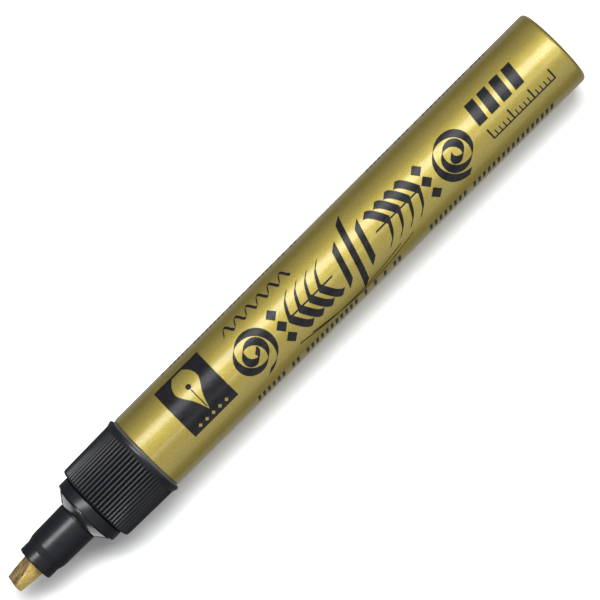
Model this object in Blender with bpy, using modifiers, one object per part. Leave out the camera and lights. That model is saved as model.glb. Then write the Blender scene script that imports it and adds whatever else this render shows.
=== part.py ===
"""Valve-action calligraphy marker, lying on a table with its chisel nib towards -X.

The marker is a stack of turned pieces on one axis. Every piece is a child of an empty that
stands at the nib's tip, with its Z axis along the marker towards the butt and its X axis
pointing down, so a piece's location along Z is its distance from the tip of the nib.
"""

import math

import bmesh
import bpy
from mathutils import Matrix, Vector

MM = 0.001
GAP = 0.3 * MM  # between pieces that touch on the real marker

# Driving dimensions. Places along the marker are distances from the nib's tip.
LENGTH = 135.2 * MM
BARREL_R = 8.0 * MM
CAN_WALL = 0.5 * MM
CAN_END_WALL = 0.8 * MM
CAN_FRONT = 33.2 * MM
RIM_R = 8.45 * MM
RIB_COUNT = 64
OUTER_STEPS = RIB_COUNT  # facets on the can and collar, one for each rib
INNER_STEPS = 32
NIB_R = 2.2 * MM
NIB_LENGTH = 22.0 * MM
NIB_TIP_HALF = 0.755 * MM  # half the thickness of the writing edge
NIB_BEVEL_LENGTH = 6.0 * MM
NIB_ROLL = math.radians(33.6)  # how far the bevel's normal is turned up from +Y
HOLDER_FRONT = 5.1 * MM
HOLDER_SHOULDER = 15.9 * MM
COLLAR_FRONT = 20.2 * MM
COLLAR_REAR = 32.6 * MM
CAN_BORE_R = BARREL_R - CAN_WALL
AXIS_HEIGHT = RIM_R * math.cos(math.pi / OUTER_STEPS)  # a flat of the rim lies on the table

STEM_PIN_R = 1.1 * MM
STEM_REAR_R = 1.0 * MM
VALVE_HEAD_R = 3.0 * MM
VALVE_SEAT_FRONT = 24.9 * MM
VALVE_SEAT_DEPTH = 1.8 * MM
CAGE_R = 4.7 * MM
CAGE_BORE_R = 3.5 * MM
PLUG_BORE_R = CAGE_R + GAP
SPRING_R = 2.0 * MM
SPRING_WIRE_R = 0.2 * MM
SPRING_TURNS = 8
POINTS_PER_TURN = 12
BALL_R = 2.8 * MM
BALL_REST = 110.0 * MM


def clear_scene():
    for obj in list(bpy.data.objects):
        bpy.data.objects.remove(obj, do_unlink=True)


def new_collection(name):
    collection = bpy.data.collections.new(name)
    bpy.context.scene.collection.children.link(collection)
    return collection


def new_axis():
    """The empty at the nib's tip that carries every piece."""
    axis = bpy.data.objects.new("marker_axis", None)
    axis.location = (-LENGTH / 2, 0, AXIS_HEIGHT)
    axis.rotation_euler = (0, math.pi / 2, 0)
    PIECES.objects.link(axis)
    return axis


def finish(name, colour, roughness, metallic=0.0):
    material = bpy.data.materials.new(name)
    material.use_nodes = True
    shader = material.node_tree.nodes["Principled BSDF"]
    shader.inputs["Base Color"].default_value = (*colour, 1.0)
    shader.inputs["Roughness"].default_value = roughness
    shader.inputs["Metallic"].default_value = metallic
    return material


def place(obj, material, front=0.0, down=0.0, collection=None):
    """Puts an object on the marker's axis at a distance from the nib's tip."""
    (collection or PIECES).objects.link(obj)
    obj.parent = AXIS
    obj.location = (down, 0, front)
    if material:
        obj.data.materials.append(material)
    return obj


def arc(radius, length, size, start, end, steps=3):
    """Points round a corner centred on (radius, length), between two angles in degrees.

    Angle 0 points away from the axis and 90 towards the butt.
    """
    turns = [math.radians(start + (end - start) * i / steps) for i in range(steps + 1)]
    return [(radius + size * math.cos(a), length + size * math.sin(a)) for a in turns]


def turned(name, front, outline, material, steps=INNER_STEPS, solid=False):
    """Turns an outline of (radius, distance from front) about the axis.

    The outline runs along the outside from front to rear and comes back along the bore. A
    solid one starts and ends on the axis instead. It starts half a facet round, so that a
    flat faces the table.
    """
    points = outline[::-1]
    lean = math.pi / steps
    verts = [(r * math.cos(lean), r * math.sin(lean), z) for r, z in points]
    edges = [(i, i + 1) for i in range(len(verts) - 1)]
    if not solid:
        edges.append((len(verts) - 1, 0))
    mesh = bpy.data.meshes.new(name)
    mesh.from_pydata(verts, edges, [])
    obj = place(bpy.data.objects.new(name, mesh), material, front)
    screw = obj.modifiers.new("turn", "SCREW")
    screw.axis = "Z"
    screw.steps = steps
    screw.render_steps = steps
    screw.use_smooth_shade = False
    screw.use_merge_vertices = True
    screw.merge_threshold = 0.00001
    return obj


def tube(name, front, length, outer, bore, material, steps=INNER_STEPS):
    outline = [(outer, 0), (outer, length), (bore, length), (bore, 0)]
    return turned(name, front, outline, material, steps)


def mesh_object(name, bm):
    mesh = bpy.data.meshes.new(name)
    bm.to_mesh(mesh)
    bm.free()
    return bpy.data.objects.new(name, mesh)


def cut(obj, bm, front=0.0):
    """Takes the closed shapes in bm away from obj."""
    cutter = place(mesh_object(obj.name + "_cutter", bm), None, front, collection=CUTTERS)
    cutter.hide_render = True
    cutter.display_type = "WIRE"
    boolean = obj.modifiers.new("cut", "BOOLEAN")
    boolean.operation = "DIFFERENCE"
    boolean.solver = "EXACT"
    boolean.object = cutter


def barrel_can():
    """Drawn aluminium can: one wall and a closed butt, open at the front."""
    length = LENGTH - CAN_FRONT
    corner = 0.85 * MM
    inner_corner = 0.4 * MM
    inside = length - CAN_END_WALL
    mouth = 0.25 * MM
    outline = [(0, inside)]
    outline += arc(CAN_BORE_R - inner_corner, inside - inner_corner, inner_corner, 90, 0, 2)
    outline += [(CAN_BORE_R, 0)]
    outline += arc(BARREL_R - mouth, mouth, mouth, -90, 0, 2)
    outline += arc(BARREL_R - corner, length - corner, corner, 0, 90, 4)
    outline += [(0, length)]
    gold = finish("gold_lacquer", (0.60, 0.47, 0.18), 0.38, 1.0)
    return turned("barrel_can", CAN_FRONT, outline, gold, OUTER_STEPS, solid=True)


def barrel_gasket():
    """Clear plastic ring between the collar and the mouth of the can."""
    clear = finish("gasket_plastic", (0.42, 0.42, 0.45), 0.35)
    front = COLLAR_REAR - GAP
    return tube("barrel_gasket", front, 0.6 * MM, 7.7 * MM, 6.5 * MM, clear, OUTER_STEPS)


def grip_collar():
    """Black collar with fine ribs along it and a smooth flared rim at the can."""
    front_r = 8.0 * MM
    ribs_end_r = 8.19 * MM
    ribs_end = 31.5 * MM - COLLAR_FRONT
    length = COLLAR_REAR - COLLAR_FRONT
    recess = 0.6 * MM
    round_r = 0.5 * MM
    bore = 6.5 * MM
    mouth_bore = 7.0 * MM  # clears the seat ring, so that a cap's rim meets a free flat face
    mouth_depth = 1.0 * MM
    outline = arc(front_r - round_r, round_r, round_r, -90, 0)
    outline += [(ribs_end_r, ribs_end), (RIM_R, length - 0.35 * MM)]
    outline += arc(RIM_R - 0.15 * MM, length - 0.15 * MM, 0.15 * MM, 0, 90, 1)
    outline += [(8.0 * MM, length), (8.0 * MM, length - recess)]
    outline += [(bore, length - recess), (bore, mouth_depth)]
    outline += [(mouth_bore, mouth_depth), (mouth_bore, 0)]
    collar = turned("grip_collar", COLLAR_FRONT, outline, BLACK, OUTER_STEPS)

    depth = 0.18 * MM
    half_diagonal = 0.3 * MM
    lean = math.atan2(ribs_end_r - front_r, ribs_end)
    overrun = 0.5 * MM
    run = ribs_end + overrun
    bm = bmesh.new()
    for rib in range(RIB_COUNT):
        turn = Matrix.Rotation(2 * math.pi * (rib + 0.5) / RIB_COUNT, 4, "Z")
        reach = (front_r + ribs_end_r) / 2 - depth + half_diagonal
        out = Matrix.Translation((reach, 0, ribs_end - run / 2))
        tilt = Matrix.Rotation(lean, 4, "Y")
        bmesh.ops.create_cone(
            bm,
            cap_ends=True,
            segments=4,
            radius1=half_diagonal,
            radius2=half_diagonal,
            depth=run,
            matrix=turn @ out @ tilt,
        )
    cut(collar, bm, COLLAR_FRONT)
    return collar


def cap_seat_ring():
    """Smooth ring in front of the collar that the cap clicks over."""
    length = 2.1 * MM
    edge = 0.2 * MM
    outer = 6.8 * MM
    bore = 5.9 * MM
    outline = arc(outer - edge, edge, edge, -90, 0, 2)
    outline += [(outer, length), (bore, length), (bore, 0)]
    return turned("cap_seat_ring", 17.85 * MM, outline, BLACK)


def neck_plug():
    """Pale plug pressed into the can: a cone in front, a web for the valve seat inside."""
    front = 16.2 * MM
    holder_bore = 4.2 * MM
    outline = [
        (4.45 * MM, 0),
        (6.2 * MM, 1.35 * MM),
        (5.6 * MM, 1.35 * MM),
        (5.6 * MM, 3.9 * MM),
        (6.2 * MM, 4.0 * MM),
        (6.2 * MM, CAN_FRONT - front),
        (CAN_BORE_R - GAP, CAN_FRONT - front),
        (CAN_BORE_R - GAP, 26.0 * MM),
        (6.6 * MM, 26.8 * MM),
        (4.3 * MM, 26.8 * MM),
        (4.3 * MM, 25.1 * MM),
        (PLUG_BORE_R, 25.1 * MM),
        (PLUG_BORE_R, VALVE_SEAT_FRONT - GAP - front),
        (2.0 * MM, VALVE_SEAT_FRONT - GAP - front),
        (2.0 * MM, VALVE_SEAT_FRONT - GAP - front - 1.0 * MM),
        (holder_bore, VALVE_SEAT_FRONT - GAP - front - 1.0 * MM),
        (holder_bore, 0),
    ]
    pale = finish("neck_plastic", (0.30, 0.31, 0.30), 0.4)
    return turned("neck_plug", front, outline, pale)


def nib_holder():
    """Black holder that guides the nib; its spigot is pressed into the neck plug."""
    bore = NIB_R + GAP
    counterbore = 3.4 * MM
    shoulder = HOLDER_SHOULDER - HOLDER_FRONT
    length = 15.9 * MM
    outline = arc(3.3 * MM, 0.3 * MM, 0.3 * MM, -90, 0, 2)
    outline += [
        (3.6 * MM, 2.1 * MM),
        (3.95 * MM, 3.55 * MM),
        (4.05 * MM, shoulder),
        (3.9 * MM, shoulder + 0.1 * MM),
        (3.9 * MM, length),
        (counterbore, length),
        (counterbore, 4.4 * MM),
        (bore, 4.4 * MM),
        (bore, 0),
    ]
    return turned("nib_holder", HOLDER_FRONT, outline, BLACK)


def ink_buffer():
    """Fibre sleeve round the nib that soaks up what the valve lets through."""
    felt = finish("buffer_fibre", (0.62, 0.52, 0.30), 0.9)
    return tube("ink_buffer", 9.8 * MM, 5.5 * MM, 3.1 * MM, NIB_R + GAP, felt, 24)


def nib():
    """Fibre rod cut to a chisel by two bevels that leave a flat writing edge."""
    bm = bmesh.new()
    bmesh.ops.create_cone(
        bm,
        cap_ends=True,
        segments=INNER_STEPS,
        radius1=NIB_R,
        radius2=NIB_R,
        depth=NIB_LENGTH,
        matrix=Matrix.Translation((0, 0, NIB_LENGTH / 2)),
    )
    slope = (NIB_R - NIB_TIP_HALF) / NIB_BEVEL_LENGTH
    across = Vector((-math.sin(NIB_ROLL), math.cos(NIB_ROLL), 0))
    for side in (across, -across):
        cut_faces = bm.verts[:] + bm.edges[:] + bm.faces[:]
        result = bmesh.ops.bisect_plane(
            bm,
            geom=cut_faces,
            plane_co=side * NIB_TIP_HALF,
            plane_no=(side - Vector((0, 0, slope))).normalized(),
            clear_outer=True,
        )
        edges = [item for item in result["geom_cut"] if isinstance(item, bmesh.types.BMEdge)]
        bmesh.ops.contextual_create(bm, geom=edges)
    bmesh.ops.recalc_face_normals(bm, faces=bm.faces)
    fibre = finish("nib_fibre", (0.42, 0.32, 0.13), 0.7)
    return place(mesh_object("nib", bm), fibre)


def nib_ferrule():
    """Plastic ferrule on the nib's rear half: it stops the nib falling out forwards."""
    white = finish("ferrule_plastic", (0.75, 0.75, 0.72), 0.4)
    return tube("nib_ferrule", 15.6 * MM, 4.5 * MM, 3.1 * MM, NIB_R + GAP, white, 24)


def valve_seat():
    rubber = finish("seat_rubber", (0.05, 0.05, 0.05), 0.8)
    return tube(
        "valve_seat", VALVE_SEAT_FRONT, VALVE_SEAT_DEPTH, CAGE_R, 1.7 * MM, rubber
    )


def valve_washer():
    """Rubber washer on the stem that closes against the seat."""
    rubber = finish("washer_rubber", (0.32, 0.08, 0.05), 0.7)
    front = VALVE_SEAT_FRONT + VALVE_SEAT_DEPTH + GAP
    return tube(
        "valve_washer", front, 0.8 * MM, VALVE_HEAD_R, STEM_PIN_R + GAP, rubber, 24
    )


def valve_stem():
    """Stem that the nib pushes back: a front pin, a round head and a rear guide pin."""
    outline = [
        (0, 0),
        (STEM_PIN_R, 0),
        (STEM_PIN_R, 5.8 * MM),
        (VALVE_HEAD_R, 5.8 * MM),
        (VALVE_HEAD_R, 7.0 * MM),
        (STEM_REAR_R, 7.0 * MM),
        (STEM_REAR_R, 16.7 * MM),
        (0, 16.7 * MM),
    ]
    white = finish("stem_plastic", (0.80, 0.80, 0.77), 0.35)
    return turned("valve_stem", NIB_LENGTH + GAP, outline, white, 24, solid=True)


def valve_spring():
    """Compression spring behind the valve head, with a closed turn at each end."""
    length = 8.4 * MM
    closed_pitch = 2.2 * SPRING_WIRE_R
    free = length - 2 * SPRING_WIRE_R - 2 * closed_pitch
    open_pitch = free / (SPRING_TURNS - 2)

    def height(turn):
        first = min(turn, 1)
        middle = min(max(turn - 1, 0), SPRING_TURNS - 2)
        last = max(turn - SPRING_TURNS + 1, 0)
        return SPRING_WIRE_R + (first + last) * closed_pitch + middle * open_pitch

    curve = bpy.data.curves.new("valve_spring", "CURVE")
    curve.dimensions = "3D"
    curve.bevel_depth = SPRING_WIRE_R
    curve.bevel_resolution = 2
    curve.use_fill_caps = True
    spline = curve.splines.new("POLY")
    count = SPRING_TURNS * POINTS_PER_TURN + 1
    spline.points.add(count - 1)
    for i in range(count):
        turn = i / POINTS_PER_TURN
        angle = 2 * math.pi * turn
        spot = (SPRING_R * math.cos(angle), SPRING_R * math.sin(angle), height(turn), 1)
        spline.points[i].co = spot
    steel = finish("spring_steel", (0.62, 0.62, 0.64), 0.25, 1.0)
    return place(bpy.data.objects.new("valve_spring", curve), steel, 29.6 * MM)


def valve_cage():
    """Tube that houses the valve, with four windows for ink and a lip at its rear."""
    front = VALVE_SEAT_FRONT + VALVE_SEAT_DEPTH + GAP
    length = 14.0 * MM
    lip = 0.6 * MM
    outline = [
        (CAGE_R, 0),
        (CAGE_R, length),
        (2.6 * MM, length),
        (2.6 * MM, length - lip),
        (CAGE_BORE_R, length - lip),
        (CAGE_BORE_R, 0),
    ]
    white = finish("cage_plastic", (0.72, 0.73, 0.74), 0.4)
    cage = turned("valve_cage", front, outline, white)
    window = Matrix.Diagonal((3.0 * MM, 2.4 * MM, 5.0 * MM, 1))
    bm = bmesh.new()
    for side in range(4):
        turn = Matrix.Rotation(math.pi * side / 2, 4, "Z")
        out = Matrix.Translation((CAGE_R, 0, 5.5 * MM))
        bmesh.ops.create_cube(bm, size=1, matrix=turn @ out @ window)
    cut(cage, bm, front)
    return cage


def spring_seat():
    """Disc in the cage that the spring bears on, with a guide hole and ink ports."""
    thickness = 1.8 * MM
    white = finish("spring_seat_plastic", (0.68, 0.70, 0.70), 0.4)
    seat = tube("spring_seat", 38.3 * MM, thickness, CAGE_BORE_R - GAP, 1.4 * MM, white)
    bm = bmesh.new()
    for port in range(4):
        turn = Matrix.Rotation(math.pi * port / 2, 4, "Z")
        bmesh.ops.create_cone(
            bm,
            cap_ends=True,
            segments=12,
            radius1=0.45 * MM,
            radius2=0.45 * MM,
            depth=3 * thickness,
            matrix=turn @ Matrix.Translation((2.35 * MM, 0, thickness / 2)),
        )
    cut(seat, bm, 38.3 * MM)
    return seat


def mixing_ball():
    """Loose steel ball that stirs the ink; it lies on the can's wall."""
    drop = CAN_BORE_R * math.cos(math.pi / OUTER_STEPS) - BALL_R - GAP
    bm = bmesh.new()
    bmesh.ops.create_uvsphere(bm, u_segments=24, v_segments=14, radius=BALL_R)
    steel = finish("ball_steel", (0.60, 0.60, 0.62), 0.15, 1.0)
    return place(mesh_object("mixing_ball", bm), steel, BALL_REST, drop)


clear_scene()
PIECES = new_collection("calligraphy_marker")
CUTTERS = new_collection("cutters")
AXIS = new_axis()
BLACK = finish("black_plastic", (0.018, 0.019, 0.023), 0.3)
for build in (
    barrel_can,
    barrel_gasket,
    grip_collar,
    cap_seat_ring,
    neck_plug,
    nib_holder,
    ink_buffer,
    nib,
    nib_ferrule,
    valve_seat,
    valve_washer,
    valve_stem,
    valve_spring,
    valve_cage,
    spring_seat,
    mixing_ball,
):
    build()
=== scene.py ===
# %% [markdown]
# # A valve-action calligraphy marker
#
# The marker lies on a pale table with its chisel nib to the lower left. It has a drawn
# aluminium barrel in gold lacquer, a black ribbed grip collar, a smooth ring that the cap
# clicks over, a pale cone, a black nib holder and a fibre nib soaked in gold ink.
#
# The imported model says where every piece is. This script gives each piece its fine surface
# and its finish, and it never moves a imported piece. All sizes are in metres.

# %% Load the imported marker
import math

import bmesh
import bpy
from mathutils import Matrix, Vector


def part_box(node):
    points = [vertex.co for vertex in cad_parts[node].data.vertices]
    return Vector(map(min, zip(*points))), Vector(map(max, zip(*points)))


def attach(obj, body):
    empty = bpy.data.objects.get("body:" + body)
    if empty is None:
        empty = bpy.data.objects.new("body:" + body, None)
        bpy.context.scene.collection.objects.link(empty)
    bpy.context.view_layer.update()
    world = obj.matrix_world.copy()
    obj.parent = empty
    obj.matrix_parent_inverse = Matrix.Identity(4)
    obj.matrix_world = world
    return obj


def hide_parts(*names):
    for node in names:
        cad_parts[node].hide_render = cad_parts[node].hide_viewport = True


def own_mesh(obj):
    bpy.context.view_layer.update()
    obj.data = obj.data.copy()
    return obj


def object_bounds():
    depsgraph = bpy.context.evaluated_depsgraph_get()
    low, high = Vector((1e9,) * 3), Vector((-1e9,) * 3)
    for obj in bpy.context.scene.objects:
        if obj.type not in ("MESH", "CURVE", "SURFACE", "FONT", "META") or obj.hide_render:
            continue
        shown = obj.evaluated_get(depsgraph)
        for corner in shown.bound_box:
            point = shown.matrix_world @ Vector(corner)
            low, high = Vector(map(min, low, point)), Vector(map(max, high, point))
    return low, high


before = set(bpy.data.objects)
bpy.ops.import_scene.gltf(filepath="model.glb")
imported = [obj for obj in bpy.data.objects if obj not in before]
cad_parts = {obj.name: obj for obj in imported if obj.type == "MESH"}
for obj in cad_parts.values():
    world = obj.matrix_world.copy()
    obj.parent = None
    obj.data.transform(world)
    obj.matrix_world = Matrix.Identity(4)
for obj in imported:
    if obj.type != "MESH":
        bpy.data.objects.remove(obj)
cad_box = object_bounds()
MM = 0.001
print("packed box", cad_box)

# %% [markdown]
# Every piece but the loose ball stands on one axis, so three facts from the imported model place
# them: where the nib's tip is, how high the axis lies over the table, and the barrel's radius.
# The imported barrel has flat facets, 64 of them, so its box is a little narrower than the true
# circle, and dividing by the cosine of half a facet gives the circle back.

# %% Measure the axis
OUTER_FACETS = 64
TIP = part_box("nib")[0][0]


def span(node):
    """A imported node's front and rear along the marker, as distances from the nib's tip."""
    low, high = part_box(node)
    return low[0] - TIP, high[0] - TIP


def radius(node, facets=OUTER_FACETS):
    """A packed round node's outer radius."""
    low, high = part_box(node)
    return (high[1] - low[1]) / 2 / math.cos(math.pi / facets)


can_low, can_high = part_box("barrel_can")
AXIS_HEIGHT = (can_low[2] + can_high[2]) / 2
BARREL_R = radius("barrel_can")
CAN_FRONT, CAN_REAR = span("barrel_can")
print("axis height", round(AXIS_HEIGHT / MM, 2), "mm, barrel radius", round(BARREL_R / MM, 3))

# %% [markdown]
# The camera hangs straight over the marker on a long lens, as for a catalogue picture, and is
# turned so that the marker runs up to the right at 45 degrees. A long lens from 0.63 m keeps
# the barrel's two sides nearly parallel and hides its flat end.

# %% Hang the camera
CAMERA_HEIGHT = 0.629
CAMERA_TURN = math.radians(44.92)
LENS = 213.0
CAMERA_SHIFT_ALONG = 3.8 * MM
CAMERA_SHIFT_ACROSS = -0.09 * MM

camera_data = bpy.data.cameras.new("overhead_camera")
camera_data.lens = LENS
camera_data.clip_start = 0.01
camera = bpy.data.objects.new("overhead_camera", camera_data)
camera.location = (CAMERA_SHIFT_ALONG, CAMERA_SHIFT_ACROSS, AXIS_HEIGHT + CAMERA_HEIGHT)
camera.rotation_euler = (0, 0, -CAMERA_TURN)
bpy.context.scene.collection.objects.link(camera)
bpy.context.scene.camera = camera
bpy.context.scene.view_settings.view_transform = "Standard"
print("camera", tuple(round(v, 4) for v in camera.location))

# %% [markdown]
# Catalogue light for a shiny cylinder is a long softbox over the top of the picture, a little
# behind the camera's line of sight, because a cylinder shows each light as one streak along
# its whole length. The key box is nearly level in the picture while the marker lies at 45
# degrees, so the streak wanders a little across the barrel. A narrow strip on the other side
# draws the thin second streak, and a wide faint box on each side fills the edges. A last box
# lights the table alone, from where the key is, which is how a picture keeps a white ground
# round a shadow that is still dark at the contact. The rest of the room is dim.

# %% Light the table
KEY_TOWARDS = math.pi / 2 - CAMERA_TURN + math.radians(11)
BARREL_SIDE = -math.pi / 2


def softbox(name, towards, lean, distance, size, brightness, tint=(1, 1, 1)):
    """An area light that leans from overhead towards a compass direction, aimed at the origin.

    Its brightness is what a white card would need to give off, and 1 prints as plain white.
    """
    light = bpy.data.lights.new(name, "AREA")
    light.shape = "RECTANGLE"
    light.size, light.size_y = size
    light.energy = brightness * math.pi * size[0] * size[1]
    light.color = tint
    lamp = bpy.data.objects.new(name, light)
    angle = math.radians(lean)
    reach = distance * math.sin(angle)
    across = (reach * math.cos(towards), reach * math.sin(towards))
    lamp.location = (*across, distance * math.cos(angle))
    lamp.rotation_euler = (-angle, 0, towards - math.pi / 2)
    bpy.context.scene.collection.objects.link(lamp)
    return lamp


softbox("key_softbox", KEY_TOWARDS, 18.5, 1.0, (1.5, 0.34), 6.2, (0.97, 0.985, 1.0))
strip = softbox("strip_softbox", BARREL_SIDE, 20.0, 1.2, (1.6, 0.09), 3.4)
side_fills = [
    softbox("near_side_fill", BARREL_SIDE, 68.0, 1.0, (1.8, 0.8), 0.6),
    softbox("far_side_fill", -BARREL_SIDE, 80.0, 1.0, (1.8, 0.5), 0.25),
]
table_light = softbox("table_light", KEY_TOWARDS, 25.0, 1.0, (0.6, 0.3), 16.0)


# %% [markdown]
# The helpers for node trees come first here, because the room is a node tree too: its
# brightness rises from the horizon to a point overhead.

# %% Helpers for node trees, and the dim room
def add_node(tree, kind, inputs=(), **settings):
    """Adds a node; an input that is given a socket is linked, and any other is set."""
    made = tree.nodes.new(kind)
    for name, value in settings.items():
        setattr(made, name, value)
    for key, value in dict(inputs).items():
        if isinstance(value, bpy.types.NodeSocket):
            tree.links.new(value, made.inputs[key])
        else:
            made.inputs[key].default_value = value
    return made


def math_node(tree, operation, first, second=0.0):
    """The result of a Math node on one or two values."""
    return add_node(tree, "ShaderNodeMath", {0: first, 1: second}, operation=operation).outputs[0]


ROOM_DARK = 0.13
ROOM_BRIGHT = 0.42
BRIGHTEST_WAY = (0.0, 0.0, 1.0)

world = bpy.data.worlds.new("dim_studio")
world.use_nodes = True
room = world.node_tree
looking = add_node(room, "ShaderNodeTexCoord")
height = add_node(
    room,
    "ShaderNodeVectorMath",
    {0: looking.outputs["Generated"], 1: BRIGHTEST_WAY},
    operation="DOT_PRODUCT",
)
brightness = add_node(
    room,
    "ShaderNodeMapRange",
    {"Value": height.outputs["Value"], "To Min": ROOM_DARK, "To Max": ROOM_BRIGHT},
)
room.nodes["Background"].inputs["Color"].default_value = (1, 1, 1, 1)
room.links.new(brightness.outputs["Result"], room.nodes["Background"].inputs["Strength"])
bpy.context.scene.world = world
print("room from", ROOM_DARK, "to", ROOM_BRIGHT)

# %% [markdown]
# ## Finishes
#
# Each finish is a small node tree on one Principled shader, and a few helpers keep the trees
# short. Patterns read Object coordinates, and because every piece's object stands at the
# origin, a pattern stays put on the piece in any pose.

# %% Helpers for finishes
def start_finish(name, **shader_values):
    """A material with one Principled shader, whose plain values are set by socket name."""
    material = bpy.data.materials.new(name)
    material.use_nodes = True
    shader = material.node_tree.nodes["Principled BSDF"]
    for key, value in shader_values.items():
        socket = shader.inputs[key.replace("_", " ")]
        socket.default_value = (*value, 1) if isinstance(value, tuple) else value
    return material, material.node_tree, shader


def grain(tree, scale, stretch=(1, 1, 1), detail=3.0, roughness=0.55):
    """Noise on Object coordinates; a stretch above 1 makes it finer along that axis."""
    where = add_node(tree, "ShaderNodeTexCoord")
    mapping = add_node(
        tree, "ShaderNodeMapping", {"Vector": where.outputs["Object"], "Scale": stretch}
    )
    return add_node(
        tree,
        "ShaderNodeTexNoise",
        {"Vector": mapping.outputs[0], "Scale": scale, "Detail": detail, "Roughness": roughness},
    ).outputs["Fac"]


def spread(tree, value, low, high, start=0.3, end=0.7):
    """Maps noise, which stays near the middle of 0 to 1, on to a range of values."""
    return add_node(
        tree,
        "ShaderNodeMapRange",
        {"Value": value, "From Min": start, "From Max": end, "To Min": low, "To Max": high},
    ).outputs["Result"]


def two_tone(tree, value, dark, light, start=0.3, end=0.7):
    """A ramp between two colours."""
    ramp = add_node(tree, "ShaderNodeValToRGB", {"Fac": value})
    ramp.color_ramp.elements[0].position = start
    ramp.color_ramp.elements[1].position = end
    ramp.color_ramp.elements[0].color = (*dark, 1)
    ramp.color_ramp.elements[1].color = (*light, 1)
    return ramp.outputs["Color"]


def bump(tree, shader, height, distance, strength=1.0):
    """Roughens the shader's normal by a height that is worth a distance in metres."""
    made = add_node(
        tree, "ShaderNodeBump", {"Height": height, "Distance": distance, "Strength": strength}
    )
    tree.links.new(made.outputs["Normal"], shader.inputs["Normal"])


def tone_and_gloss(tree, shader, colour, roughness):
    """Links a colour pattern and a roughness pattern to the shader."""
    tree.links.new(colour, shader.inputs["Base Color"])
    tree.links.new(roughness, shader.inputs["Roughness"])


# %% [markdown]
# The barrel is aluminium sprayed with a metallic gold lacquer. The flakes lie at slightly
# different angles, so the paint glitters in a fine grain and its streak of light is soft,
# while the clear top coat adds a paler, sharper streak over it. That makes a metal base with
# a rough, grainy surface, under a smoother coat.

# %% Gold lacquer
def gold_lacquer():
    """Metallic gold under a clear coat."""
    material, tree, shader = start_finish(
        "gold_lacquer", Metallic=1.0, Coat_Weight=1.0, Coat_Roughness=0.2, Coat_IOR=1.55
    )
    flakes = grain(tree, 5200, detail=2.0)
    mottle = grain(tree, 240, detail=2.0)
    tint = two_tone(tree, flakes, (0.42, 0.33, 0.060), (0.55, 0.445, 0.098))
    tone_and_gloss(tree, shader, tint, spread(tree, mottle, 0.54, 0.60))
    bump(tree, shader, flakes, 0.012 * MM, 0.5)
    return material


GOLD = gold_lacquer()


# %% [markdown]
# The grip collar, the ring and the nib holder are moulded in one black plastic. It is glossy
# but not polished: a fine mottle from the mould breaks up its roughness and its surface.

# %% Black plastic and black ink
MOTTLE_CONTRAST = 1.35


def black_plastic(name, colour, low, high, depth, gloss):
    """Black with a fine mottle: its roughness runs from low to high, its relief is depth."""
    material, tree, shader = start_finish(name, IOR=1.5, Specular_IOR_Level=gloss)
    mottle = grain(tree, 900, detail=4.0)
    fine = grain(tree, 4200, detail=2.0)
    lighter = tuple(MOTTLE_CONTRAST * c for c in colour)
    tint = two_tone(tree, mottle, colour, lighter)
    tone_and_gloss(tree, shader, tint, spread(tree, mottle, low, high))
    bump(tree, shader, fine, depth)
    return material


SMOOTH_BLACK = (0.0085, 0.0092, 0.013)
BLACK = black_plastic("black_plastic", SMOOTH_BLACK, 0.24, 0.31, 0.003 * MM, 0.62)
COLLAR_BLACK = black_plastic("collar_plastic", SMOOTH_BLACK, 0.28, 0.35, 0.003 * MM, 0.8)
INK = black_plastic("printed_ink", (0.009, 0.009, 0.0105), 0.24, 0.32, 0.002 * MM, 0.26)


# %% [markdown]
# The cone behind the nib holder is the nose of the plug that closes the barrel. It is a cool
# grey with a satin, almost metallic gloss: dark where it mirrors the dim room ahead of it
# and pale where it mirrors the table, so this finish is mostly metallic. The inner plastics
# are left unpigmented, which looks milky.

# %% Pale plastics
def milky_plastic(name, dark, light, low=0.30, high=0.45, metallic=0.0):
    """A clouded pale plastic, whose roughness runs from low to high."""
    material, tree, shader = start_finish(name, IOR=1.5, Metallic=metallic)
    cloud = grain(tree, 380, detail=3.0)
    tint = two_tone(tree, cloud, dark, light)
    tone_and_gloss(tree, shader, tint, spread(tree, cloud, low, high))
    bump(tree, shader, grain(tree, 2600), 0.004 * MM)
    return material


NECK = milky_plastic("neck_plastic", (0.12, 0.123, 0.12), (0.16, 0.163, 0.16), 0.14, 0.22, 0.9)
GASKET = milky_plastic("gasket_plastic", (0.075, 0.075, 0.076), (0.115, 0.115, 0.114))
WHITE = milky_plastic("white_plastic", (0.66, 0.66, 0.62), (0.78, 0.78, 0.75))


# %% [markdown]
# The nib is a rod of bonded fibres that run along it. Gold pigment fills and clogs them, so
# the surface is a speckle of bright flakes and darker brown fibre, and it is rough: noise
# stretched along the rod gives the fibres, and a finer, even noise gives the flakes. The two
# bevels are cut faces, where the brown fibre ends stand open, while the rod's round skin is
# sealed by its pigment and stays brighter. Both are one piece, so a mask tells them apart by
# the way that the surface faces. The rod is turned about its axis, and so are its bevels.

# %% Inked fibre
NIB_ROLL = math.radians(33.6)
SPECKLE = (0.15, 0.38)


def cut_faces(tree):
    """A mask that is 1 where the surface faces one of the two bevels, and 0 on the rod's skin."""
    facing = add_node(tree, "ShaderNodeTexCoord").outputs["Normal"]
    bevel_way = (0.0, math.cos(NIB_ROLL), math.sin(NIB_ROLL))
    along_it = add_node(
        tree, "ShaderNodeVectorMath", {0: facing, 1: bevel_way}, operation="DOT_PRODUCT"
    ).outputs["Value"]
    either_side = math_node(tree, "ABSOLUTE", along_it)
    return spread(tree, either_side, 0.0, 1.0, 0.74, 0.86)


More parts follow.
